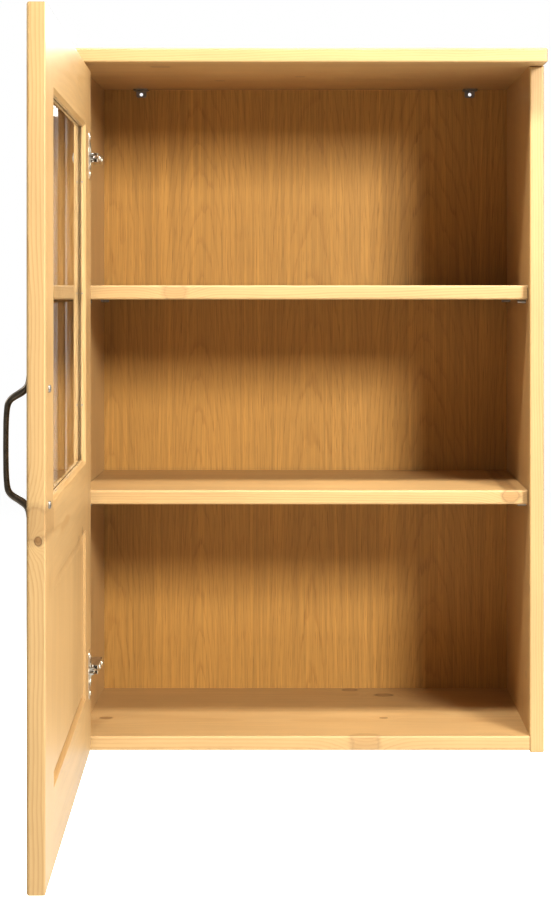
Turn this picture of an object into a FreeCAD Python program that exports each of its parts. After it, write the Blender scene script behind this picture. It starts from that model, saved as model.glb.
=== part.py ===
import FreeCAD, Part
import math
import os
from FreeCAD import Vector

# Wall-hung display cabinet in solid pine: an open carcass with two shelves and one door,
# glazed above and panelled below, that swings on two concealed cup hinges.
# X runs to the right, Y into the wall, Z up. Inside this script Y is 0 on the wall and Z is 0
# at the foot of the sides; save() moves the origin to the middle of the top board's back edge.

# ---- Carcass ----
body_width = 600.0
side_height = 859.3
side_depth = 310.0
board = 18.0
top_overhang = 40.0
board_round = 2.5
bottom_lift = 3.0            # bottom board's underside above the foot of the sides

back_thickness = 4.0
back_inset = 8.0             # air between the back panel and the wall
back_groove = 6.0
groove_play = 0.3

shelf_setback = 16.0
shelf_end_gap = 1.0
shelf_back_gap = 4.0
lower_shelf_height = 309.0    # underside above the foot of the sides
upper_shelf_drop = 292.3     # underside below the top board

pin_radius = 2.5
pin_length = 20.0
pin_hold = 9.0
front_pin_setback = 47.0      # from the sides' front edges
rear_pin_inset = 55.0        # from the wall
pin_round = 1.0

dowel_radius = 4.0
dowel_in_face = 12.0
dowel_in_end = 20.0
dowel_setback = 45.0
fit = 0.05                   # radial play round pins, dowels and screws

# ---- Hanging brackets ----
bracket_inset = 52.0         # bracket's middle from the side's inner face
bracket_gauge = 2.0
bracket_width = 20.0
bracket_reach = 20.0
bracket_drop = 9.0
bracket_leg_width = 14.0
bracket_corner = 4.0
bracket_leg_corner = 3.0
bracket_screw_inset = 12.4   # from the back panel
bracket_screw_length = 14.0
wall_hole_radius = 2.5
back_hole_radius = 3.0
wall_hole_drop = 6.5         # wall screw's axis below the top board

# ---- Door ----
overlay = 16.0               # how far the door covers each side's front edge
door_thickness = 18.0
door_bottom = 5.5
door_top_gap = 7.0           # below the top board's underside
door_gap = 2.0
door_round = 3.0
door_back_round = 1.5
open_angle = 87.6

stile = 88.0
top_rail = 75.8
middle_rail_bottom = 290.0
middle_rail_top = 373.5
bottom_rail = 79.5
opening_round = 3.0
rail_dowel_length = 60.0

glass_thickness = 3.0
glass_play = 1.0
bead_width = 10.0
bead_depth = 7.2
bead_bevel = 3.5
bead_bevel_depth = 3.2
level_bead_relief = 0.6      # shadow gap along the glass
upright_bead_relief = 2.0
bead_relief_depth = 3.0
bar_width = 18.0
bar_recess = 1.0
bar_round = 2.0
nail_radius = 0.65
nail_head_radius = 0.95
nail_length = 18.0
nail_head = 0.3
nail_count = 3               # in each bead

panel_groove = 6.0
panel_groove_depth = 8.0
panel_thickness = 14.0
panel_bevel = 13.0
panel_play = 1.0

# ---- Handle ----
handle_edge = 34.0
handle_height = 428.0
handle_holes = 112.0
handle_screw_radius = 2.0
handle_screw_head = 3.75
handle_screw_bite = 3.4
handle_screw_dome = 2.2

# ---- Hinges ----
upper_hinge_drop = 107.3     # from the door's top edge
lower_hinge_rise = 98.5      # from the door's bottom edge
cup_edge = 22.5              # cup centre from the door's hinge edge
cup_radius = 17.5
cup_depth = 13.5
cup_wall = 1.2
cup_floor = 0.8
flange_gauge = 0.9
flange_height = 60.0
flange_width = 20.0
flange_offset = 6.0
flange_corner = 7.0
cup_rim = 1.0                # cup's flange proud of its hole, all round
cup_screw_spacing = 45.0
cup_screw_length = 13.0
cup_screw_dome = 1.0
small_screw_radius = 1.75
small_screw_head = 3.3
small_screw_dome = 1.8

# The pole is the one point that the door keeps between shut and open; each link's
# pivot on the arm lies where its pin in the cup is as far away when shut as when open.
pole_inset = 0.8             # past the inner face of the side, towards its outer face
pole_front = 18.9            # in front of the sides
inner_pin_from_pole = (-2.2, 12.8)
outer_pin_from_pole = (0.85, 8.96)
inner_reach = 29.9
outer_reach = 25.5
link_pin_radius = 1.25
eye_radius = 2.3
link_width = 2.8
inner_link_bends = [(5.0, 3.2), (15.5, 5.8)]
outer_link_bends = [(3.5, 2.4), (8.5, 4.7), (14.0, 3.6)]
slot_ends = [(-1.0, -0.25), (1.9, 1.35)]
slot_radius = 1.75
slot_wall = 0.7

# layers of the hinge, out from its mid-plane
tongue_half = 1.1
outer_link_layer = (1.3, 2.5)
inner_link_layer = (2.9, 4.1)
cheek_layer = (4.5, 5.7)

arm_length = 58.0
arm_cheek_inset = 6.0        # cheeks' lower edge above the side
arm_back = 23.7              # outer face of the arm above the side
arm_nose = 2.0               # the arm's web starts this far behind the sides' front
arm_eye_radius = 3.4
arm_foot_length = 28.0       # run of the cheeks' lower edge
arm_knee = (12.0, 14.0)      # cheek's corner above the side and behind its front
tongue_length = 12.0
tongue_neck = 3.0
plate_gauge = 2.0
plate_setback = 37.0
plate_screw_spacing = 32.0
plate_screw_length = 15.0
plate_width = 16.0
plate_height = 46.0
plate_corner = 6.4
spine_rise = 14.0
spine_start = 15.0
spine_end = 52.0
arm_screw_inset = 8.0        # front arm screw behind the spine's start, rear one behind the plate's middle
arm_screw_grip = 8.0         # thread in the spine
arm_screw_radius = 2.0
arm_screw_head = 3.6
arm_screw_dome = 1.6

# Cross recess of every screw, as shares of its head: width of a slot, its length and its depth.
recess_width = 0.32
recess_length = 1.24
recess_depth = 0.55
head_round = 0.6

# ---- Derived planes ----
half = body_width / 2
inside = half - board
upper_shelf_height = side_height - upper_shelf_drop
bracket_place = inside - bracket_inset
door_top = side_height - door_top_gap
hinge_heights = {"upper": door_top - upper_hinge_drop, "lower": door_bottom + lower_hinge_rise}
front = -side_depth
back_face = -(back_inset + back_thickness)
top_face = side_height + board
datum = side_height + board / 2
bottom_top = bottom_lift + board
door_back = front - door_gap
door_front = door_back - door_thickness
door_half = inside + overlay
sight_half = door_half - stile
sight_top = door_top - top_rail
bar_height = (middle_rail_top + sight_top) / 2
panel_bottom = door_bottom + bottom_rail
glass_back = door_back - bead_depth
glass_front = glass_back - glass_thickness
door_middle = (door_back + door_front) / 2
pole = Vector(-inside - pole_inset, front - pole_front, 0)


# ---- Helpers ----
def box(x0, x1, y0, y1, z0, z1):
    return Part.makeBox(x1 - x0, y1 - y0, z1 - z0, Vector(x0, y0, z0))


def rod(radius, start, end):
    along = end - start
    return Part.makeCylinder(radius, along.Length, start, along)


def group(solids):
    return Part.makeCompound(solids)


def fuse(solids):
    return solids[0].fuse(solids[1:]).removeSplitter()


def edges_on(shape, axis, value, test=None):
    """Edges that lie wholly in the plane where the coordinate named axis equals value."""
    found = []
    for edge in shape.Edges:
        limits = edge.BoundBox
        low, high = getattr(limits, axis + "Min"), getattr(limits, axis + "Max")
        flat = abs(low - value) < 1e-4 and abs(high - value) < 1e-4
        if flat and (test is None or test(limits)):
            found.append(edge)
    return found


def edges_along(plate, axis):
    """A plate's corner edges, which run through its thickness along the axis."""
    return [edge for edge in plate.Edges if getattr(edge.BoundBox, axis + "Length") > 1e-3]


def soften(shape, radius, *planes):
    """Round every edge in the given planes."""
    edges = []
    for axis, value in planes:
        for edge in edges_on(shape, axis, value):
            if not any(edge.isSame(other) for other in edges):
                edges.append(edge)
    return shape.makeFillet(radius, edges)


def both_sides(solid):
    return [solid, solid.mirror(Vector(0, 0, 0), Vector(1, 0, 0))]


def prism(points, z0, z1):
    """Upright prism over a closed outline in plan."""
    corners = [Vector(x, y, z0) for x, y in points]
    face = Part.Face(Part.makePolygon(corners + corners[:1]))
    return face.extrude(Vector(0, 0, z1 - z0))


def plate_xz(points, y0, y1):
    """Plate over a closed outline in elevation."""
    corners = [Vector(x, y0, z) for x, z in points]
    face = Part.Face(Part.makePolygon(corners + corners[:1]))
    return face.extrude(Vector(0, y1 - y0, 0))


def tapered_frame(half_0, z_low_0, z_high_0, y0, half_1, z_low_1, z_high_1, y1):
    """Solid between two rectangles at different depths."""
    outlines = []
    for half_width, low, high, y in ((half_0, z_low_0, z_high_0, y0), (half_1, z_low_1, z_high_1, y1)):
        corners = [Vector(-half_width, y, low), Vector(half_width, y, low),
                   Vector(half_width, y, high), Vector(-half_width, y, high)]
        outlines.append(Part.makePolygon(corners + corners[:1]))
    return Part.makeLoft(outlines, True, True)


def turned(shape):
    """Swing a door piece from shut to the open rest position."""
    copy = shape.copy()
    copy.rotate(pole, Vector(0, 0, 1), -open_angle)
    return copy


def save(name, shape):
    shape.copy().translated(Vector(0, 0, -datum)).exportStep("parts/" + name + ".step")


# ---- Carcass pieces ----
def back_groove_cutter():
    """Space that the back panel's edges take in the boards round it."""
    play = groove_play / 2
    return box(-inside - back_groove, inside + back_groove, back_face - play, -back_inset + play,
               bottom_top - back_groove, side_height + back_groove)


def dowel_places():
    rear = back_face - dowel_setback
    return [front + dowel_setback, (front + dowel_setback + rear) / 2, rear]


def carcass_dowel_rods(play):
    rods = []
    for y in dowel_places():
        x = half - board / 2
        foot = Vector(x, y, side_height - dowel_in_end)
        head = Vector(x, y, side_height + dowel_in_face)
        rods += both_sides(rod(dowel_radius + play, foot, head))
        z = bottom_lift + board / 2
        inner = Vector(inside - dowel_in_end, y, z)
        outer = Vector(inside + dowel_in_face, y, z)
        rods += both_sides(rod(dowel_radius + play, inner, outer))
    return rods


def shelf_pin_rods(shelf_height, radius):
    rods = []
    for y in (front + front_pin_setback, -rear_pin_inset):
        place = Vector(inside + pin_hold - pin_length, y, shelf_height - pin_radius)
        pin = rod(radius, place, place + Vector(pin_length, 0, 0))
        rods += both_sides(pin)
    return rods


def shelf_pins(shelf_height):
    pins = []
    for pin in shelf_pin_rods(shelf_height, pin_radius):
        near = min(pin.Vertexes, key=lambda vertex: abs(vertex.X)).X
        pins.append(soften(pin, pin_round, ("X", near)))
    return group(pins)


def build_top_board():
    board_solid = box(-half, half, front - top_overhang, 0, side_height, top_face)
    board_solid = soften(board_solid, board_round, ("Y", front - top_overhang), ("X", -half), ("X", half))
    cutters = carcass_dowel_rods(fit) + [back_groove_cutter()] + bracket_screw_rods(fit)
    return board_solid.cut(cutters)


def build_side(sign):
    x0, x1 = sorted((sign * inside, sign * half))
    side = box(x0, x1, front, 0, 0, side_height)
    side = soften(side, board_round, ("Y", front), ("Z", 0))
    cutters = carcass_dowel_rods(fit) + [back_groove_cutter()]
    for height in (lower_shelf_height, upper_shelf_height):
        cutters += shelf_pin_rods(height, pin_radius + fit)
    cutters += plate_screw_rods(fit)
    return side.cut(cutters)


def build_bottom_board():
    board_solid = box(-inside, inside, front, 0, bottom_lift, bottom_top)
    board_solid = board_solid.makeFillet(board_round, long_front_edges(board_solid, front))
    return board_solid.cut(carcass_dowel_rods(fit) + [back_groove_cutter()])


def long_front_edges(shape, y):
    return edges_on(shape, "Y", y, lambda limits: limits.XLength > limits.ZLength)


def build_shelf(height):
    shelf_front = front + shelf_setback
    shelf_half = inside - shelf_end_gap
    shelf = box(-shelf_half, shelf_half, shelf_front, back_face - shelf_back_gap, height, height + board)
    return shelf.makeFillet(board_round, long_front_edges(shelf, shelf_front))


def build_back_panel():
    reach = back_groove - groove_play
    panel = box(-inside - reach, inside + reach, back_face, -back_inset,
                bottom_top - reach, side_height + reach)
    return panel.cut(wall_holes(back_hole_radius))


# ---- Hanging brackets ----
def wall_holes(radius):
    z = side_height - wall_hole_drop
    start = Vector(bracket_place, back_face - bracket_reach, z)
    return both_sides(rod(radius, start, start + Vector(0, bracket_reach + back_thickness + 1, 0)))


def bracket_screw_place():
    return Vector(bracket_place, back_face - bracket_screw_inset, side_height - bracket_gauge)


def bracket_screw_rods(play):
    place = bracket_screw_place()
    return both_sides(rod(small_screw_radius + play, place, place + Vector(0, 0, bracket_screw_length)))


def build_bracket(sign):
    x = sign * bracket_place
    roof = side_height - bracket_gauge
    plate = box(x - bracket_width / 2, x + bracket_width / 2, back_face - bracket_reach, back_face,
                roof, side_height)
    corners = edges_on(plate, "Y", back_face - bracket_reach, lambda limits: limits.ZLength > limits.XLength)
    plate = plate.makeFillet(bracket_corner, corners)
    leg = box(x - bracket_leg_width / 2, x + bracket_leg_width / 2, back_face - bracket_gauge, back_face,
              roof - bracket_drop, roof)
    lower = edges_on(leg, "Z", roof - bracket_drop, lambda limits: limits.YLength > limits.XLength)
    leg = leg.makeFillet(bracket_leg_corner, lower)
    return fuse([plate, leg]).cut(wall_holes(wall_hole_radius) + bracket_screw_rods(fit))


def screw(place, direction, radius, length, head_radius, head_height):
    """Screw whose head sits on the surface at place and whose shank runs along direction."""
    direction = Vector(direction).normalize()
    top = place - direction * head_height
    head = Part.makeCylinder(head_radius, head_height, top, direction)
    rim = [edge for edge in head.Edges
           if edge.isClosed() and edge.Vertexes[0].Point.distanceToPoint(top) < head_radius * 1.01]
    head = head.makeFillet(head_height * head_round, rim)
    side = Vector(0, 0, 1) if abs(direction.z) < 0.5 else Vector(1, 0, 0)
    other = direction.cross(side)
    cross = []
    for along, across in ((side, other), (other, side)):
        run = along * head_radius * recess_length
        width = across * head_radius * recess_width
        corner = top - (run + width) / 2 - direction * head_height
        wire = Part.makePolygon([corner, corner + run, corner + run + width, corner + width, corner])
        cross.append(Part.Face(wire).extrude(direction * head_height * (1 + recess_depth)))
    shank = Part.makeCylinder(radius, length, place, direction)
    return head.cut(cross).fuse(shank).removeSplitter()


def build_bracket_screws():
    place = bracket_screw_place()
    one = screw(place, Vector(0, 0, 1), small_screw_radius, bracket_screw_length, small_screw_head,
                small_screw_dome)
    return group(both_sides(one))


# ---- Hinges ----
def hinge_pivots():
    """Pivot places in plan: inner and outer link on the arm, then in the cup, at rest."""
    places = []
    for offset, reach in ((inner_pin_from_pole, inner_reach), (outer_pin_from_pole, outer_reach)):
        shut = pole + Vector(offset[0], offset[1], 0)
        direction = math.atan2(offset[1], offset[0]) - math.radians(open_angle) / 2
        on_arm = pole + Vector(reach * math.cos(direction), reach * math.sin(direction), 0)
        swing = FreeCAD.Rotation(Vector(0, 0, 1), -open_angle)
        places.append((on_arm, pole + swing.multVec(shut - pole), shut))
    return places


def in_link_frame(on_arm, in_cup, point, from_cup=False):
    """Plan point given along and across the line from a link's arm pivot to its cup pivot."""
    along = (in_cup - on_arm).normalize()
    across = Vector(-along.y, along.x, 0)
    origin = in_cup if from_cup else on_arm
    return origin + along * point[0] + across * point[1]


def disc(centre, radius, z0, z1):
    return Part.makeCylinder(radius, z1 - z0, Vector(centre.x, centre.y, z0))


def bar(start, end, width, z0, z1):
    """Straight strip of the given width, with round ends."""
    along = (end - start).normalize()
    across = Vector(-along.y, along.x, 0) * width / 2
    corners = [start + across, end + across, end - across, start - across]
    strip = prism([(corner.x, corner.y) for corner in corners], z0, z1)
    return fuse([strip, disc(start, width / 2, z0, z1), disc(end, width / 2, z0, z1)])


def link_plate(on_arm, in_cup, bends, z0, z1):
    places = [on_arm] + [in_link_frame(on_arm, in_cup, bend) for bend in bends] + [in_cup]
    pieces = [disc(on_arm, eye_radius, z0, z1)]
    for start, end in zip(places, places[1:]):
        pieces.append(bar(start, end, link_width, z0, z1))
    return pieces


def mirrored_layers(make, layer, height):
    """The same plate above and below the hinge's mid-plane."""
    low, high = layer
    return [make(height + low, height + high), make(height - high, height - low)]


def build_inner_links():
    on_arm, in_cup = hinge_pivots()[0][:2]

    def plate(z0, z1):
        pieces = link_plate(on_arm, in_cup, inner_link_bends, z0, z1)
        pieces.append(disc(in_cup, eye_radius, z0, z1))
        holes = [disc(place, link_pin_radius + fit, z0 - 1, z1 + 1) for place in (on_arm, in_cup)]
        return fuse(pieces).cut(holes)

    links = []
    for height in hinge_heights.values():
        links += mirrored_layers(plate, inner_link_layer, height)
    return group(links)


def build_outer_links():
    on_arm, in_cup = hinge_pivots()[1][:2]
    slot = [in_link_frame(on_arm, in_cup, end, from_cup=True) for end in slot_ends]

    def plate(z0, z1):
        pieces = link_plate(on_arm, in_cup, outer_link_bends, z0, z1)
        pieces.append(bar(slot[0], slot[1], (slot_radius + slot_wall) * 2, z0, z1))
        opening = bar(slot[0], slot[1], slot_radius * 2, z0 - 1, z1 + 1)
        return fuse(pieces).cut([opening, disc(on_arm, link_pin_radius + fit, z0 - 1, z1 + 1)])

    links = []
    for height in hinge_heights.values():
        links += mirrored_layers(plate, outer_link_layer, height)
    return group(links)


def build_arm_pins():
    inner_place, outer_place = (pivots[0] for pivots in hinge_pivots())
    pins = []
    for height in hinge_heights.values():
        reach = cheek_layer[1]
        pins.append(disc(inner_place, link_pin_radius, height - reach, height + reach))
        reach = outer_link_layer[1]
        pins.append(disc(outer_place, link_pin_radius, height - reach, height + reach))
    return group(pins)


def chord(offset, radius):
    return math.sqrt(radius * radius - offset * offset)


def cup_centre():
    return Vector(-door_half + cup_edge, door_back, 0)


def cup_pin_solids(height):
    """Pins across the cup, at the shut door: two stubs for the inner link, one rod for the outer."""
    inner_place, outer_place = (pivots[2] for pivots in hinge_pivots())
    ring = cup_radius - cup_wall * 0.8
    inner_reach_z = chord(inner_place.x - cup_centre().x, ring)
    outer_reach_z = chord(outer_place.x - cup_centre().x, ring)
    stub = inner_link_layer[0] - 0.2
    return [disc(inner_place, link_pin_radius, height + stub, height + inner_reach_z),
            disc(inner_place, link_pin_radius, height - inner_reach_z, height - stub),
            disc(outer_place, link_pin_radius, height - outer_reach_z, height + outer_reach_z)]


def cup_blank(height, radius, depth):
    centre = cup_centre() + Vector(0, 0, height)
    return rod(radius, centre, centre - Vector(0, depth, 0))


def cup_screw_places(height):
    centre = cup_centre()
    x = centre.x + flange_offset
    return [Vector(x, door_back, height + sign * cup_screw_spacing / 2) for sign in (-1, 1)]


def build_cup(height):
    centre = cup_centre()
    outside = door_back + flange_gauge
    wings = box(centre.x + flange_offset - flange_width / 2, centre.x + flange_offset + flange_width / 2,
                door_back, outside, height - flange_height / 2, height + flange_height / 2)
    wings = wings.makeFillet(flange_corner, edges_along(wings, "Y"))
    rim = rod(cup_radius + cup_rim, Vector(centre.x, door_back, height), Vector(centre.x, outside, height))
    shell = fuse([cup_blank(height, cup_radius, cup_depth), wings, rim])
    inner = rod(cup_radius - cup_wall, Vector(centre.x, outside + 1, height),
                Vector(centre.x, door_back - cup_depth + cup_floor, height))
    holes = [rod(small_screw_radius + fit, place + Vector(0, 2, 0), place - Vector(0, 1, 0))
             for place in cup_screw_places(height)]
    return shell.cut([inner] + holes + cup_pin_solids(height))


def cup_screws():
    screws = []
    for height in hinge_heights.values():
        for place in cup_screw_places(height):
            seat = place + Vector(0, flange_gauge, 0)
            screws.append(screw(seat, Vector(0, -1, 0), small_screw_radius, cup_screw_length,
                                small_screw_head, cup_screw_dome))
    return screws


def build_arm(height):
    inner_place, outer_place = (pivots[0] for pivots in hinge_pivots())
    web_face = -inside + arm_back
    web_back = web_face - (cheek_layer[1] - cheek_layer[0])
    start = front + arm_nose
    end = front + arm_length
    low = -inside + arm_cheek_inset

    def cheek(z0, z1):
        taper = [(web_face, start), (web_face, end), (low, end), (low, end - arm_foot_length),
                 (-inside + arm_knee[0], front + arm_knee[1]),
                 (inner_place.x - arm_eye_radius, inner_place.y)]
        side = [prism(taper, z0, z1), disc(inner_place, arm_eye_radius, z0, z1)]
        return fuse(side)

    half_outer = cheek_layer[1]
    web = box(web_back, web_face, start, end, height - half_outer, height + half_outer)
    tongue_end = start + tongue_length
    tongue_outline = [(web_face, start), (web_face, tongue_end), (web_back - tongue_neck, tongue_end),
                      (outer_place.x - eye_radius, outer_place.y),
                      (outer_place.x + eye_radius, outer_place.y)]
    tongue = fuse([prism(tongue_outline, height - tongue_half, height + tongue_half),
                   disc(outer_place, eye_radius, height - tongue_half, height + tongue_half)])
    arm = fuse(mirrored_layers(cheek, cheek_layer, height) + [web, tongue])
    holes = [disc(place, link_pin_radius, height - 2 * half_outer, height + 2 * half_outer)
             for place in (inner_place, outer_place)]
    for setback in arm_screw_setbacks():
        holes.append(rod(arm_screw_radius + fit, Vector(web_back - 1, front + setback, height),
                         Vector(web_face + 1, front + setback, height)))
    return arm.cut(holes)


def arm_screw_setbacks():
    return [spine_start + arm_screw_inset, plate_setback + arm_screw_inset]


def spine_face():
    return -inside + spine_rise


def build_mounting_plate(height):
    wing_y = front + plate_setback
    base = box(-inside, -inside + plate_gauge, wing_y - plate_width / 2, wing_y + plate_width / 2,
               height - plate_height / 2, height + plate_height / 2)
    base = base.makeFillet(plate_corner, edges_along(base, "X"))
    spine_half = cheek_layer[0] - 0.1
    spine = box(-inside, spine_face(), front + spine_start, front + spine_end,
                height - spine_half, height + spine_half)
    holes = [rod(small_screw_radius + fit, place - Vector(5, 0, 0), place + Vector(5, 0, 0))
             for place in plate_screw_places(height)]
    for setback in arm_screw_setbacks():
        mouth = Vector(spine_face() + 1, front + setback, height)
        holes.append(rod(arm_screw_radius + fit, mouth - Vector(arm_screw_grip + 1, 0, 0), mouth))
    return fuse([base, spine]).cut(holes)


def plate_screw_places(height):
    x = -inside + plate_gauge
    y = front + plate_setback
    return [Vector(x, y, height + sign * plate_screw_spacing / 2) for sign in (-1, 1)]


def plate_screw_rods(play):
    rods = []
    for height in hinge_heights.values():
        for place in plate_screw_places(height):
            rods.append(rod(small_screw_radius + play, place, place - Vector(plate_screw_length, 0, 0)))
    return rods


def build_plate_screws():
    screws = []
    for height in hinge_heights.values():
        for place in plate_screw_places(height):
            screws.append(screw(place, Vector(-1, 0, 0), small_screw_radius, plate_screw_length,
                                small_screw_head, small_screw_dome))
    return group(screws)


def build_arm_screws():
    screws = []
    web_face = -inside + arm_back
    for height in hinge_heights.values():
        for setback in arm_screw_setbacks():
            place = Vector(web_face, front + setback, height)
            length = web_face - spine_face() + arm_screw_grip
            screws.append(screw(place, Vector(-1, 0, 0), arm_screw_radius, length, arm_screw_head,
                                arm_screw_dome))
    return group(screws)


# ---- Door, built shut ----
def rail_dowel_rods(play):
    rods = []
    spans = ((sight_top + bead_width, door_top), (middle_rail_bottom + panel_groove_depth,
             middle_rail_top - bead_width), (door_bottom, panel_bottom - panel_groove_depth))
    for low, high in spans:
        for share in (0.25, 0.75):
            z = low + (high - low) * share
            centre = Vector(sight_half, door_middle, z)
            reach = Vector(rail_dowel_length / 2, 0, 0)
            rods += both_sides(rod(dowel_radius + play, centre - reach, centre + reach))
    return rods


def opening_edges(shape):
    """Front edges round the two openings of the door frame."""
    def inner(limits):
        across = max(abs(limits.XMin), abs(limits.XMax)) < sight_half + 1
        return across and limits.ZMin > panel_bottom - 1 and limits.ZMax < sight_top + 1
    return edges_on(shape, "Y", door_front, inner)


def build_door_frame():
    slab = box(-door_half, door_half, door_front, door_back, door_bottom, door_top)
    slab = soften(slab, door_round, ("Y", door_front))
    slab = soften(slab, door_back_round, ("Y", door_back))
    for low, high in ((middle_rail_top, sight_top), (panel_bottom, middle_rail_bottom)):
        slab = slab.cut(box(-sight_half, sight_half, door_front - 1, door_back + 1, low, high))
    slab = slab.makeFillet(opening_round, opening_edges(slab))
    rebate = box(-sight_half - bead_width, sight_half + bead_width, glass_front, door_back + 1,
                 middle_rail_top - bead_width, sight_top + bead_width)
    groove = box(-sight_half - panel_groove_depth, sight_half + panel_groove_depth,
                 door_middle - panel_groove / 2, door_middle + panel_groove / 2,
                 panel_bottom - panel_groove_depth, middle_rail_bottom + panel_groove_depth)
    cutters = [rebate, groove] + rail_dowel_rods(fit) + nail_rods(fit) + handle_screw_rods(fit)
    for height in hinge_heights.values():
        cutters.append(cup_blank(height, cup_radius, cup_depth))
        for place in cup_screw_places(height):
            depth = cup_screw_length - flange_gauge
            cutters.append(rod(small_screw_radius + fit, place, place - Vector(0, depth, 0)))
    return slab.cut(cutters)


def frame_piece(frame, x0, x1, z0, z1):
    return frame.common(box(x0, x1, door_front - 1, door_back + 1, z0, z1))


def build_glazing_bars():
    y0 = door_front + bar_recess
    upright = box(-bar_width / 2, bar_width / 2, y0, glass_front, middle_rail_top, sight_top)
    upright = upright.makeFillet(bar_round, edges_on(upright, "Y", y0, lambda b: b.ZLength > b.XLength))
    z0, z1 = bar_height - bar_width / 2, bar_height + bar_width / 2
    level = box(-sight_half, sight_half, y0, glass_front, z0, z1)
    level = level.makeFillet(bar_round, edges_on(level, "Y", y0, lambda b: b.XLength > b.ZLength))
    lap = (y0 + glass_front) / 2
    crossing = box(-bar_width / 2, bar_width / 2, lap, glass_front + 1, z0, z1)
    front_half = box(-bar_width / 2, bar_width / 2, y0 - 1, lap, z0, z1)
    return upright.cut(crossing), level.cut(front_half)


def build_glass():
    reach = bead_width - glass_play
    return box(-sight_half - reach, sight_half + reach, glass_front, glass_back,
               middle_rail_top - reach, sight_top + reach)


def nail_places():
    """Start and direction of each bead nail, on the beads' sight edge."""
    y = glass_back + (upright_bead_relief + bead_depth - bead_bevel_depth) / 2
    nails = []
    height = sight_top - middle_rail_top
    for index in range(nail_count):
        share = (index + 0.5) / nail_count
        z = middle_rail_top + height * share
        nails += [(Vector(sight_half, y, z), Vector(1, 0, 0)), (Vector(-sight_half, y, z), Vector(-1, 0, 0))]
        x = -sight_half + 2 * sight_half * share
        nails += [(Vector(x, y, sight_top), Vector(0, 0, 1)),
                  (Vector(x, y, middle_rail_top), Vector(0, 0, -1))]
    return nails


def nail_rods(play):
    rods = []
    for place, direction in nail_places():
        rods.append(rod(nail_radius + play, place, place + direction * nail_length))
    return rods


def nails():
    solids = []
    for place, direction in nail_places():
        shank = rod(nail_radius, place, place + direction * nail_length)
        head = rod(nail_head_radius, place - direction * nail_head, place)
        solids.append(shank.fuse(head).removeSplitter())
    return solids


def build_beads():
    reach = bead_width
    x1, z0, z1 = sight_half + reach, middle_rail_top - reach, sight_top + reach
    ring = box(-x1, x1, glass_back, door_back, z0, z1)
    ring = ring.cut(box(-sight_half, sight_half, glass_back - 1, door_back + 1, middle_rail_top, sight_top))
    splay = tapered_frame(sight_half, middle_rail_top, sight_top, door_back - bead_bevel_depth,
                          sight_half + bead_bevel, middle_rail_top - bead_bevel,
                          sight_top + bead_bevel, door_back)
    ring = ring.cut([splay] + nail_rods(fit))
    relieved = sight_half + bead_relief_depth
    inner = [(-sight_half, middle_rail_top), (sight_half, middle_rail_top),
             (sight_half, sight_top), (-sight_half, sight_top)]
    outer = [(-x1, z0), (x1, z0), (x1, z1), (-x1, z1)]
    names = ("glazing_bead_bottom", "glazing_bead_free_side", "glazing_bead_top", "glazing_bead_hinge_side")
    beads = {}
    for index, name in enumerate(names):
        following = (index + 1) % 4
        outline = [outer[index], outer[following], inner[following], inner[index]]
        relief = upright_bead_relief if name.endswith("side") else level_bead_relief
        gap = box(-relieved, relieved, glass_back - 1, glass_back + relief,
                  middle_rail_top - bead_relief_depth, sight_top + bead_relief_depth)
        beads[name] = ring.common(plate_xz(outline, glass_back - 1, door_back + 1)).cut(gap)
    return beads


def build_door_panel():
    tongue = panel_groove_depth - panel_play
    half_groove = panel_groove / 2
    sheet = box(-sight_half - tongue, sight_half + tongue, door_middle - half_groove,
                door_middle + half_groove, panel_bottom - tongue, middle_rail_bottom + tongue)
    faces = []
    for sign in (-1, 1):
        shoulder, crown = door_middle + sign * half_groove, door_middle + sign * panel_thickness / 2
        faces.append(tapered_frame(sight_half, panel_bottom, middle_rail_bottom, shoulder,
                                   sight_half - panel_bevel, panel_bottom + panel_bevel,
                                   middle_rail_bottom - panel_bevel, crown))
    return fuse([sheet] + faces)


# ---- Handle ----
def handle_screw_rods(play):
    x = door_half - handle_edge
    rods = []
    for sign in (-1, 1):
        z = handle_height + sign * handle_holes / 2
        start = Vector(x, door_back + 1, z)
        rods.append(rod(handle_screw_radius + play, start, Vector(x, door_front - handle_screw_bite, z)))
    return rods


def build_handle():
    """Bow handle that grows out of two pointed leaves; each section is an ellipse square to the run."""
    # height along the door, standing off the door, half width, half thickness
    run = [(75.5, 0.9, 0.7, 0.6), (70.0, 1.4, 3.0, 1.6), (63.5, 1.8, 5.2, 2.1), (58.0, 3.0, 5.8, 3.0),
           (53.8, 6.5, 4.9, 3.6), (50.4, 11.5, 4.0, 3.5), (47.6, 16.0, 3.6, 3.3), (43.2, 20.2, 3.4, 3.1),
           (36.0, 22.0, 3.5, 2.8), (27.0, 22.7, 3.6, 2.7), (14.0, 23.0, 3.9, 2.6)]
    middle = (0.0, 23.1, 4.0, 2.6)
    stations = run + [middle] + [(-z, off, wide, thick) for z, off, wide, thick in reversed(run)]
    x = door_half - handle_edge
    wires = []
    for index, (z, off, wide, thick) in enumerate(stations):
        before = stations[max(index - 1, 0)]
        after = stations[min(index + 1, len(stations) - 1)]
        tangent = Vector(0, -(after[1] - before[1]), after[0] - before[0]).normalize()
        centre = Vector(x, door_front - off, handle_height + z)
        turn = FreeCAD.Rotation(Vector(1, 0, 0), tangent.cross(Vector(1, 0, 0)), tangent, "ZXY")
        curve = Part.Ellipse(Vector(0, 0, 0), wide, thick).toShape()
        curve.Placement = FreeCAD.Placement(centre, turn)
        wires.append(Part.Wire([curve]))
    bow = Part.makeLoft(wires, True, False)
    behind = box(x - 50, x + 50, door_front, door_front + 30, handle_height - 120, handle_height + 120)
    return bow.cut([behind] + handle_screw_rods(fit))


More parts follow.
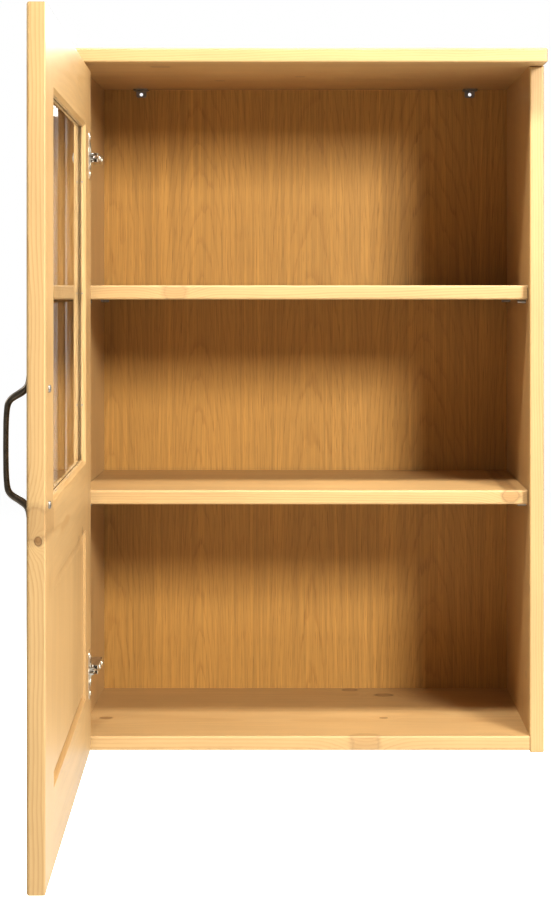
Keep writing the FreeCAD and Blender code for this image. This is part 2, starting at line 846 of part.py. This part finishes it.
def handle_screws():
    x = door_half - handle_edge
    screws = []
    for sign in (-1, 1):
        place = Vector(x, door_back, handle_height + sign * handle_holes / 2)
        length = door_thickness + handle_screw_bite
        screws.append(screw(place, Vector(0, -1, 0), handle_screw_radius, length, handle_screw_head,
                            handle_screw_dome))
    return screws


# ---- Write every piece ----
os.makedirs("parts", exist_ok=True)

save("top_board", build_top_board())
save("left_side", build_side(-1))
save("right_side", build_side(1))
save("bottom_board", build_bottom_board())
save("upper_shelf", build_shelf(upper_shelf_height))
save("lower_shelf", build_shelf(lower_shelf_height))
save("back_panel", build_back_panel())
save("carcass_dowels", group(carcass_dowel_rods(0)))
save("upper_shelf_pins", shelf_pins(upper_shelf_height))
save("lower_shelf_pins", shelf_pins(lower_shelf_height))
save("left_hanging_bracket", build_bracket(-1))
save("right_hanging_bracket", build_bracket(1))
save("bracket_screws", build_bracket_screws())

for level, height in hinge_heights.items():
    save(level + "_hinge_plate", build_mounting_plate(height))
    save(level + "_hinge_arm", build_arm(height))
    save(level + "_hinge_cup", turned(build_cup(height)))
save("hinge_plate_screws", build_plate_screws())
save("hinge_arm_screws", build_arm_screws())
save("hinge_arm_pins", build_arm_pins())
save("hinge_inner_links", build_inner_links())
save("hinge_outer_links", build_outer_links())
cup_pins = [pin for height in hinge_heights.values() for pin in cup_pin_solids(height)]
save("hinge_cup_pins", turned(group(cup_pins)))
save("hinge_cup_screws", turned(group(cup_screws())))

door_frame = build_door_frame()
stiles = {"free": (sight_half, door_half), "hinge": (-door_half, -sight_half)}
for name, (x0, x1) in stiles.items():
    piece = frame_piece(door_frame, x0, x1, door_bottom, door_top)
    save("door_" + name + "_stile", turned(piece))
rails = {"top": (sight_top, door_top), "middle": (middle_rail_bottom, middle_rail_top),
         "bottom": (door_bottom, panel_bottom)}
for name, (z0, z1) in rails.items():
    piece = frame_piece(door_frame, -sight_half, sight_half, z0, z1)
    save("door_" + name + "_rail", turned(piece))
save("door_dowels", turned(group(rail_dowel_rods(0))))
save("door_panel", turned(build_door_panel()))
upright_bar, level_bar = build_glazing_bars()
save("upright_glazing_bar", turned(upright_bar))
save("level_glazing_bar", turned(level_bar))
save("door_glass", turned(build_glass()))
for name, bead in build_beads().items():
    save(name, turned(bead))
save("bead_nails", turned(group(nails())))
save("door_handle", turned(build_handle()))
save("handle_screws", turned(group(handle_screws())))
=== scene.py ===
import math
from collections import namedtuple

import bmesh
import bpy
from mathutils import Matrix, Vector


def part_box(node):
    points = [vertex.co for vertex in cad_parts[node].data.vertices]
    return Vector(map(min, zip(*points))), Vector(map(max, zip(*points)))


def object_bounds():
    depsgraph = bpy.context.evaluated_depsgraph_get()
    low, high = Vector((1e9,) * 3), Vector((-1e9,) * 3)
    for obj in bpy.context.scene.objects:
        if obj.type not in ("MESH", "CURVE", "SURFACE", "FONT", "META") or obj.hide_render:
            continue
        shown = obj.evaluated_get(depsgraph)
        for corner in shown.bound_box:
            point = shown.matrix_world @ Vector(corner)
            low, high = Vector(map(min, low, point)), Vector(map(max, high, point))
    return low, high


# Wall-hung cabinet in lacquered pine with an oak-veneered back and one glazed and panelled door.
# Lengths are in metres; inside the wood finishes they are in millimetres.

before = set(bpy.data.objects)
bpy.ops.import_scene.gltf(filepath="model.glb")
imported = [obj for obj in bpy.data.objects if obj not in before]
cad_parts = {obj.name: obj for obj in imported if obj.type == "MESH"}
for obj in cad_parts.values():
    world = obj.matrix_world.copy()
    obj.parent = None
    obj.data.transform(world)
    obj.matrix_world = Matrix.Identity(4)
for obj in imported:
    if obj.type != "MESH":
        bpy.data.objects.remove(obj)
cad_low, cad_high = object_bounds()

MM = 0.001
UP = Vector((0, 0, 1))
RIGHT = Vector((1, 0, 0))
BACK = Vector((0, 1, 0))


def centre_of(node):
    low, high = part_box(node)
    return (low + high) / 2


# Across the open door, away from the hinges.
DOOR_WIDE = (centre_of("door_free_stile") - centre_of("door_hinge_stile")).normalized()


# ---- Shader sums ----
class Wire:
    """A node's output. Arithmetic on it adds Math nodes."""

    def __init__(self, finish, socket):
        self.finish = finish
        self.socket = socket

    def sum(self, operation, *values):
        return self.finish.node("ShaderNodeMath", {"operation": operation}, dict(enumerate(values)))

    def __add__(self, other):
        return self.sum("ADD", self, other)

    def __radd__(self, other):
        return self.sum("ADD", other, self)

    def __sub__(self, other):
        return self.sum("SUBTRACT", self, other)

    def __rsub__(self, other):
        return self.sum("SUBTRACT", other, self)

    def __mul__(self, other):
        return self.sum("MULTIPLY", self, other)

    def __rmul__(self, other):
        return self.sum("MULTIPLY", other, self)

    def __truediv__(self, other):
        return self.sum("DIVIDE", self, other)

    def __pow__(self, other):
        return self.sum("POWER", self, other)

    def __abs__(self):
        return self.sum("ABSOLUTE", self)

    def root(self):
        return self.sum("SQRT", self)

    def whole(self):
        return self.sum("FLOOR", self)

    def part(self):
        return self.sum("FRACT", self)

    def power_of_e(self):
        return self.sum("EXPONENT", self)

    def least(self, other):
        return self.sum("MINIMUM", self, other)

    def most(self, other):
        return self.sum("MAXIMUM", self, other)

    def rise(self, start, end):
        """0 before start, 1 past end, smooth between; start may be the larger."""
        ends = {"Value": self, "From Min": start, "From Max": end}
        return self.finish.node("ShaderNodeMapRange", {"interpolation_type": "SMOOTHSTEP"}, ends)


class Finish:
    """A material, or the studio's air, and its node tree."""

    def __init__(self, name, owner=None):
        self.material = owner or bpy.data.materials.new(name)
        self.material.use_nodes = True
        self.tree = self.material.node_tree
        self.tree.nodes.clear()

    def node(self, kind, settings=None, inputs=None, out=0):
        """Add a node: its settings first, then its sockets' values or links. Gives one output."""
        made = self.tree.nodes.new(kind)
        for name, value in (settings or {}).items():
            if name == "stops":
                self.set_stops(made.color_ramp, value)
            else:
                setattr(made, name, value)
        for name, value in (inputs or {}).items():
            socket = made.inputs[name]
            if isinstance(value, Wire):
                self.tree.links.new(value.socket, socket)
            else:
                socket.default_value = value
        return Wire(self, made.outputs[out]) if made.outputs else None

    def set_stops(self, ramp, stops):
        while len(ramp.elements) < len(stops):
            ramp.elements.new(1.0)
        for element, (place, colour) in zip(ramp.elements, stops):
            element.position = place
            element.color = colour if len(colour) == 4 else (*colour, 1.0)

    def vector(self, x, y, z):
        return self.node("ShaderNodeCombineXYZ", {}, {"X": x, "Y": y, "Z": z})

    def split(self, vector):
        return [self.node("ShaderNodeSeparateXYZ", {}, {0: vector}, out) for out in ("X", "Y", "Z")]

    def noise(self, vector, scale, detail=2.0, roughness=0.5, twist=0.0):
        inputs = {"Vector": vector, "Scale": scale, "Detail": detail, "Roughness": roughness,
                  "Distortion": twist}
        return self.node("ShaderNodeTexNoise", {}, inputs, "Fac")

    def chance(self, value, salt):
        """Three random shares that stay the same for the same value."""
        where = self.vector(value, salt, 0.0)
        return self.split(self.node("ShaderNodeTexWhiteNoise", {}, {"Vector": where}, "Color"))

    def blend(self, first, second, share, mode="MIX"):
        settings = {"data_type": "RGBA", "blend_type": mode}
        return self.node("ShaderNodeMix", settings, {0: share, 6: first, 7: second}, 2)

    def ramp(self, value, *stops):
        return self.node("ShaderNodeValToRGB", {"stops": stops}, {"Fac": value}, "Color")

    def tint(self, colour, amount):
        """Colour times a number."""
        grey = self.vector(amount, amount, amount)
        return self.node("ShaderNodeVectorMath", {"operation": "MULTIPLY"}, {0: colour, 1: grey})

    def place(self, out="Object"):
        return self.node("ShaderNodeTexCoord", {}, {}, out)

    def bump(self, height, depth):
        inputs = {"Height": height, "Distance": depth, "Strength": 1.0}
        return self.node("ShaderNodeBump", {}, inputs)

    def surface(self, sockets):
        shader = self.node("ShaderNodeBsdfPrincipled", {}, sockets)
        self.node("ShaderNodeOutputMaterial", {}, {"Surface": shader})
        return self.material


# ---- Wood ----
# A knot's middle from the board's middle and its radius, in millimetres, and its darkness, 0 to 1.
# The place is None in the direction that the branch runs.
Knot = namedtuple("Knot", "along across through radius dark")


class Board:
    """How a board was cut: which way its grain and its width run, and what it shows.

    Staves and year rings are as wide as stave and ring say, in millimetres. Each salt gives another
    piece of timber."""

    def __init__(self, node, along, across, salt, stave=92.0, ring=3.2, tone=1.0, knots=(),
                 slope=0.05):
        self.node = node
        self.centre = centre_of(node)
        self.along, self.across = along, across
        self.salt, self.stave, self.ring, self.tone = salt, stave, ring, tone
        self.knots, self.slope = knots, slope


def lay_out(finish, board):
    """Place in a board along its grain, across it and through its thickness, in millimetres."""
    through = board.along.cross(board.across)
    turn = Matrix((board.along, board.across, through)).transposed().to_euler()
    inputs = {"Vector": finish.place(), "Location": board.centre, "Rotation": turn,
              "Scale": (MM, MM, MM)}
    return finish.node("ShaderNodeMapping", {"vector_type": "TEXTURE"}, inputs)


def knot_distance(finish, along, across, through, knot):
    """How far a place is from the branch, in knot radii, with the knot a little oval and uneven."""
    total = None
    stretch_along = 1.25
    for value, middle, stretch in ((along, knot.along, stretch_along), (across, knot.across, 1.0),
                                   (through, knot.through, 1.0)):
        if middle is None:
            continue
        offset = (value - middle) / (knot.radius * stretch)
        square = offset * offset
        total = square if total is None else total + square
    return total.root()


def growth(finish, board):
    """Year-ring number at a place, knots' mask and rim, and the random shares of its stave."""
    where = lay_out(finish, board)
    along, across, through = finish.split(where)
    stave = (across / board.stave + board.salt * 0.37).whole()
    middle = (stave - board.salt * 0.37 + 0.5) * board.stave
    near, deep, other = finish.chance(stave, board.salt)
    slow = finish.vector(along * 0.0035 + near * 9.0, across * 0.006, through * 0.006 + board.salt)
    sway = finish.noise(slow, 1.0, 2.0, 0.45) - 0.5
    heart_across = (near - 0.5) * 54.0 + sway * 16.0
    heart_deep = deep * 46.0 + 34.0 + along * (other - 0.5) * board.slope + sway * 14.0
    sideways = across - middle - heart_across
    downwards = through + heart_deep
    radius = (sideways * sideways + downwards * downwards).root()
    fine = finish.vector(along * 0.018, across * 0.07, through * 0.07)
    radius = radius + (finish.noise(fine, 1.0, 3.0, 0.55) - 0.5) * 2.0
    mask, rim = 0.0, 0.0
    ripple = (finish.noise(where, 0.16, 2.0) - 0.5) * 0.5
    for knot in board.knots:
        distance = knot_distance(finish, along, across, through, knot) + ripple
        pull = (distance * distance * -0.22).power_of_e()
        radius = radius + pull * (board.ring * 3.4)
        mask = mask + distance.rise(1.05, 0.9) * knot.dark
        rim = rim + distance.rise(0.72, 0.95) * distance.rise(1.3, 1.0) * knot.dark
    return along, across, through, radius / board.ring, mask, rim, (near, deep, other)


EARLY_PINE = (0.52, 0.355, 0.172)
LATE_PINE = (0.39, 0.22, 0.08)
KNOT_BROWN = (0.19, 0.082, 0.022)
KNOT_RIM = (0.07, 0.026, 0.007)


def pine(board):
    """Planed and lacquered pine: pale spring wood, darker summer lines, fibres and knots."""
    finish = Finish("pine_" + board.node)
    along, across, through, years, mask, rim, shares = growth(finish, board)
    year = years.whole()
    season = years.part()
    strength = finish.chance(year, board.salt + 5.0)[0] * 0.5 + 0.38
    late = season.rise(0.35, 0.92) * season.rise(1.0, 0.94) * strength
    fibre_place = finish.vector(along * 0.045, across * 1.6, through * 1.6)
    fibre = finish.noise(fibre_place, 1.0, 3.0, 0.6)
    streak_place = finish.vector(along * 0.006, across * 0.11, through * 0.11)
    streak = finish.noise(streak_place, 1.0, 3.0, 0.6)
    cloud = finish.noise(finish.vector(along * 0.006, across * 0.02, through * 0.02), 1.0, 2.0)
    normal = finish.place("Normal")
    spin = {0: normal, 1: tuple(board.along)}
    facing = abs(finish.node("ShaderNodeVectorMath", {"operation": "DOT_PRODUCT"}, spin, "Value"))
    end_grain = facing.rise(0.5, 0.95)
    shade = ((shares[2] - 0.5) * 0.09 + (streak - 0.5) * 0.2 + (cloud - 0.5) * 0.16
             + (fibre - 0.5) * 0.12)
    shade = (shade + 1.0 - end_grain * 0.2) * board.tone
    wood = finish.blend((*EARLY_PINE, 1.0), (*LATE_PINE, 1.0), late * (0.5 + end_grain * 0.3))
    wood = finish.tint(wood, shade)
    height = late * -0.5 + fibre * 0.35 + end_grain * (fibre * 0.8)
    rough = 0.42 + late * -0.08 + fibre * 0.1
    if board.knots:
        heart = finish.chance(year, board.salt + 9.0)[1] * 0.25 + 0.75
        wood = finish.blend(wood, (*KNOT_BROWN, 1.0), (mask * heart * 0.8).least(1.0))
        wood = finish.blend(wood, (*KNOT_RIM, 1.0), (rim * 0.55).least(1.0))
        height = height + rim * -1.2
        rough = rough + mask * -0.1
    return finish.surface({
        "Base Color": wood, "Roughness": rough, "Normal": finish.bump(height, 0.06 * MM),
        "Coat Weight": 0.12, "Coat Roughness": 0.28, "IOR": 1.48,
    })


OAK_PALE = (0.53, 0.312, 0.09)
OAK_DARK = (0.37, 0.19, 0.044)
OAK_PORE = (0.24, 0.11, 0.022)


def oak_veneer(board):
    """Crown-cut oak leaves laid side by side, with long arches, open pores and a matt lacquer."""
    finish = Finish("oak_" + board.node)
    along, across, _ = finish.split(lay_out(finish, board))
    leaf = (across / board.stave + board.salt).whole()
    middle = (leaf - board.salt + 0.5) * board.stave
    near, deep, other = finish.chance(leaf, board.salt)
    slow = finish.vector(along * 0.0042 + near * 7.0, across * 0.016, board.salt)
    sway = finish.noise(slow, 1.0, 3.0, 0.5) - 0.5
    sideways = across - middle + (near - 0.5) * 30.0 + sway * 14.0
    downwards = along * (other * 0.05 + 0.045) + (deep + 0.5) * 70.0 + sway * 14.0
    radius = (sideways * sideways + downwards * downwards).root()
    jitter = finish.vector(along * 0.02, across * 0.13, 0.0)
    years = (radius + (finish.noise(jitter, 1.0, 3.0, 0.6) - 0.5) * 2.6) / board.ring
    season = years.part()
    strength = finish.chance(years.whole(), 3.0)[0] * 0.7 + 0.3
    spring = season.rise(0.32, 0.0) + season.rise(0.9, 1.0)
    fibre = finish.noise(finish.vector(along * 0.008, across * 0.75, 0.0), 1.0, 3.0, 0.65)
    streak = finish.noise(finish.vector(along * 0.0022, across * 0.16, leaf), 1.0, 4.0, 0.65)
    dash = finish.noise(finish.vector(along * 0.03, across * 1.5, leaf * 3.0), 1.0, 1.0, 0.4)
    pores = (dash + spring * 0.07).rise(0.62, 0.72)
    wood = finish.blend((*OAK_PALE, 1.0), (*OAK_DARK, 1.0), spring * strength * 0.34)
    shade = 1.0 + (fibre - 0.5) * 0.5 + (streak - 0.5) * 0.75 + (other - 0.5) * 0.08
    wood = finish.tint(wood, shade)
    wood = finish.blend(wood, (*OAK_PORE, 1.0), pores * 0.4)
    height = pores * -1.0 + fibre * 0.3
    return finish.surface({
        "Base Color": wood, "Roughness": 0.5 + fibre * 0.14 - spring * 0.04,
        "Normal": finish.bump(height, 0.07 * MM), "Coat Weight": 0.06, "Coat Roughness": 0.4,
    })


def beech(node):
    """Dowel beech: pale pink-brown with short flecks."""
    finish = Finish("beech_" + node)
    x, y, z = finish.split(finish.place())
    fleck = finish.noise(finish.vector(x * 900.0, y * 900.0, z * 260.0), 1.0, 2.0, 0.6)
    cloud = finish.noise(finish.place(), 60.0, 2.0)
    wood = finish.ramp(fleck * 0.7 + cloud * 0.3,
                       (0.3, (0.42, 0.23, 0.12)), (0.7, (0.66, 0.43, 0.25)))
    return finish.surface({"Base Color": wood, "Roughness": 0.55 + fleck * 0.2,
                           "Normal": finish.bump(fleck, 0.05 * MM)})


# ---- Metal and glass ----
def plated_steel(name, pale, dark, shine):
    """Pressed and plated steel: fine drawing lines, cloudy plating and small scuffs."""
    finish = Finish(name)
    x, y, z = finish.split(finish.place())
    drawn = finish.noise(finish.vector(x * 300.0, y * 300.0, z * 4000.0), 1.0, 2.0, 0.6)
    cloud = finish.noise(finish.place(), 140.0, 3.0, 0.6)
    scuff = finish.noise(finish.place(), 900.0, 2.0, 0.5).rise(0.6, 0.72)
    metal = finish.blend((*pale, 1.0), (*dark, 1.0), (cloud * 0.7 + drawn * 0.3).rise(0.35, 0.75))
    return finish.surface({
        "Base Color": metal, "Metallic": 1.0, "Roughness": shine + drawn * 0.12 + scuff * 0.15,
        "Normal": finish.bump(drawn * 0.6 + scuff * 0.4, 0.012 * MM),
    })


def antique_bronze():
    """Darkened bronze, rubbed brighter where fingers and cloths reach it."""
    finish = Finish("antique_bronze_handle")
    low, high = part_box("door_handle")
    middle = (low + high) / 2
    _, _, z = finish.split(finish.place())
    cloud = finish.noise(finish.place(), 190.0, 4.0, 0.62)
    grain = finish.noise(finish.place(), 2600.0, 2.0, 0.6)
    reach = abs(z - middle.z) / (high.z - middle.z)
    rubbed = reach.rise(0.75, 0.2) * cloud.rise(0.42, 0.62)
    metal = finish.ramp(cloud, (0.3, (0.095, 0.076, 0.055)), (0.6, (0.13, 0.105, 0.077)),
                        (0.8, (0.16, 0.13, 0.096)))
    metal = finish.blend(metal, (0.24, 0.19, 0.135, 1.0), rubbed * 0.4)
    return finish.surface({
        "Base Color": metal, "Metallic": 0.7, "Roughness": 0.27 - rubbed * 0.06 + grain * 0.06,
        "Normal": finish.bump(cloud * 0.7 + grain * 0.3, 0.05 * MM),
    })


def clear_glass():
    """Drawn window glass: clear, with the faintest waviness and a film of haze."""
    finish = Finish("clear_glass_pane")
    wave = finish.noise(finish.place(), 9.0, 1.0, 0.4)
    haze = finish.noise(finish.place(), 35.0, 4.0, 0.6)
    return finish.surface({
        "Base Color": (0.985, 0.995, 0.99, 1.0), "Roughness": haze.rise(0.45, 0.9) * 0.02,
        "Transmission Weight": 1.0, "IOR": 1.5, "Normal": finish.bump(wave, 0.12 * MM),
    })


def clad(node, material):
    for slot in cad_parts[node].material_slots:
        slot.material = material


def dress():
    """Give every CAD node its finish."""
    boards = [
        Board("top_board", RIGHT, BACK, 1.0, knots=(
            Knot(-181, -125, None, 9, 0.5), Knot(-114, 39, None, 5, 0.6),
            Knot(-6, -10, None, 5, 0.6))),
        Board("left_side", UP, BACK, 2.0, knots=(Knot(-280, -11, None, 3.5, 0.9),)),
        Board("right_side", UP, BACK, 3.0, knots=(Knot(-340, -112, None, 3.5, 0.8),)),
        Board("bottom_board", RIGHT, BACK, 4.0, knots=(
            Knot(108, 95, None, 9, 0.95), Knot(62, 130, None, 8, 0.8),
            Knot(-259, -50, None, 6, 0.9), Knot(103, -50, None, 4, 0.8),
            Knot(76, -155, None, 14, 0.25))),
        Board("upper_shelf", RIGHT, BACK, 5.0, knots=(Knot(-163, None, 0, 12, 0.2),)),
        Board("lower_shelf", RIGHT, BACK, 6.0, knots=(Knot(260, None, 2, 9, 0.45),)),
        Board("door_free_stile", UP, DOOR_WIDE, 7.0, knots=(
            Knot(-72, None, 0, 14, 0.3), Knot(-88, None, 2, 3.5, 0.7))),
        Board("door_hinge_stile", UP, DOOR_WIDE, 8.0),
        Board("door_top_rail", DOOR_WIDE, UP, 9.0),
        Board("door_middle_rail", DOOR_WIDE, UP, 10.0, knots=(
            Knot(-160, -37, None, 5, 0.7), Knot(-108, -40, None, 4, 0.7))),
        Board("door_bottom_rail", DOOR_WIDE, UP, 11.0),
        Board("door_panel", UP, DOOR_WIDE, 12.0, stave=110.0),
        Board("upright_glazing_bar", UP, DOOR_WIDE, 13.0),
        Board("level_glazing_bar", DOOR_WIDE, UP, 14.0),
        Board("glazing_bead_bottom", DOOR_WIDE, UP, 15.0),
        Board("glazing_bead_top", DOOR_WIDE, UP, 16.0),
        Board("glazing_bead_free_side", UP, DOOR_WIDE, 17.0),
        Board("glazing_bead_hinge_side", UP, DOOR_WIDE, 18.0),
    ]
    for board in boards:
        clad(board.node, pine(board))
    clad("back_panel", oak_veneer(Board("back_panel", UP, RIGHT, 0.4, stave=150.0, ring=4.2)))
    for node in ("carcass_dowels", "door_dowels"):
        clad(node, beech(node))
    nickel = plated_steel("nickel_plate", (0.80, 0.77, 0.69), (0.58, 0.54, 0.46), 0.26)
    zinc = plated_steel("zinc_plate", (0.40, 0.38, 0.35), (0.26, 0.24, 0.21), 0.38)
    for name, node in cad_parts.items():
        packed = node.material_slots[0].material.name
        if packed.startswith("nickel"):
            clad(name, nickel)
        elif packed.startswith("zinc"):
            clad(name, zinc)
    clad("door_handle", antique_bronze())
    clad("door_glass", clear_glass())


# ---- Studio ----
LIT_POINT = Vector((0, -0.3, -0.43))
CAMERA_PLACE = (0.0147, -2.774, -0.2890)
SENSOR_MM, LENS_MM = 36.0, 78.8
CAMERA_SHIFT = (-0.045, -0.178)
AIR_LIGHT, AIR_MIRRORED = 0.03, 0.4
PICTURE_GAMMA = 0.8          # below 1 deepens the shadows in the picture only


def mesh_object(name, shape):
    mesh = bpy.data.meshes.new(name)
    shape.to_mesh(mesh)
    shape.free()
    made = bpy.data.objects.new(name, mesh)
    bpy.context.scene.collection.objects.link(made)
    return made


def seen_straight(finish):
    """1 where the eye looks straight at a thing or through glass, 0 for light that bounces."""
    direct = finish.node("ShaderNodeLightPath", {}, {}, "Is Camera Ray")
    through = finish.node("ShaderNodeLightPath", {}, {}, "Is Transmission Ray")
    return direct.most(through)


def pale_paper():
    """Studio paper that glows only towards the eye and through glass, not on to the cabinet."""
    finish = Finish("pale_paper")
    cloud = finish.noise(finish.place(), 1.5, 3.0)
    paper = finish.ramp(cloud, (0.3, (0.90, 0.90, 0.89)), (0.7, (0.93, 0.93, 0.92)))
    glow = finish.blend((0, 0, 0, 1), (0.9, 0.9, 0.9, 1), seen_straight(finish))
    return finish.surface({"Base Color": paper, "Roughness": 0.9, "Emission Color": glow,
                           "Emission Strength": 1.0})


def build_floor():
    """Pale floor well below the cabinet."""
    drop, reach = 0.62, 9.0
    shape = bmesh.new()
    bmesh.ops.create_grid(shape, x_segments=1, y_segments=1, size=reach)
    bmesh.ops.translate(shape, verts=shape.verts, vec=(0, 0, cad_low.z - drop))
    floor = mesh_object("floor", shape)
    floor.data.materials.append(pale_paper())


def lamp_at(name, azimuth, height, distance, wide, high, power):
    """Soft box aimed at the cabinet; angles in degrees, azimuth to the right of the front."""
    turn, lift = math.radians(azimuth), math.radians(height)
    level = math.cos(lift)
    outwards = Vector((math.sin(turn) * level, -math.cos(turn) * level, math.sin(lift)))
    lamp = bpy.data.lights.new(name, "AREA")
    lamp.shape = "RECTANGLE"
    lamp.size, lamp.size_y, lamp.energy = wide, high, power
    holder = bpy.data.objects.new(name, lamp)
    holder.location = LIT_POINT + outwards * distance
    holder.rotation_euler = (-outwards).to_track_quat("-Z", "Y").to_euler()
    bpy.context.scene.collection.objects.link(holder)


def light_studio():
    """Five soft boxes, and air that looks white but lights the cabinet only a little."""
    lamp_at("key_light", 32, 21, 3.2, 0.65, 0.65, 122)
    lamp_at("top_light", 0, 63, 2.2, 2.4, 0.3, 96)
    lamp_at("left_side_light", -105, 25, 3.6, 1.6, 1.6, 60)
    lamp_at("right_side_light", 110, 25, 3.6, 1.6, 1.6, 40)
    lamp_at("back_light", 180, 25, 3.8, 2.0, 2.0, 110)
    air = Finish("studio_air", bpy.data.worlds.new("studio_air"))
    mirrored = air.node("ShaderNodeLightPath", {}, {}, "Is Glossy Ray") * AIR_MIRRORED
    strength = (seen_straight(air) * (1 - AIR_LIGHT)).most(mirrored) + AIR_LIGHT
    glow = air.node("ShaderNodeBackground", {}, {"Color": (1, 1, 1, 1), "Strength": strength})
    air.node("ShaderNodeOutputWorld", {}, {"Surface": glow})
    bpy.context.scene.world = air.material


def set_camera():
    """Level camera, straight in front and a little right of the middle."""
    camera = bpy.data.cameras.new("camera")
    camera.sensor_fit = "AUTO"
    camera.sensor_width, camera.lens = SENSOR_MM, LENS_MM
    camera.shift_x, camera.shift_y = CAMERA_SHIFT
    holder = bpy.data.objects.new("camera", camera)
    holder.location = CAMERA_PLACE
    holder.rotation_euler = (math.radians(90), 0, 0)
    bpy.context.scene.collection.objects.link(holder)
    bpy.context.scene.camera = holder


dress()
build_floor()
light_studio()
set_camera()
view = bpy.context.scene.view_settings
view.view_transform = "Standard"
view.gamma = PICTURE_GAMMA
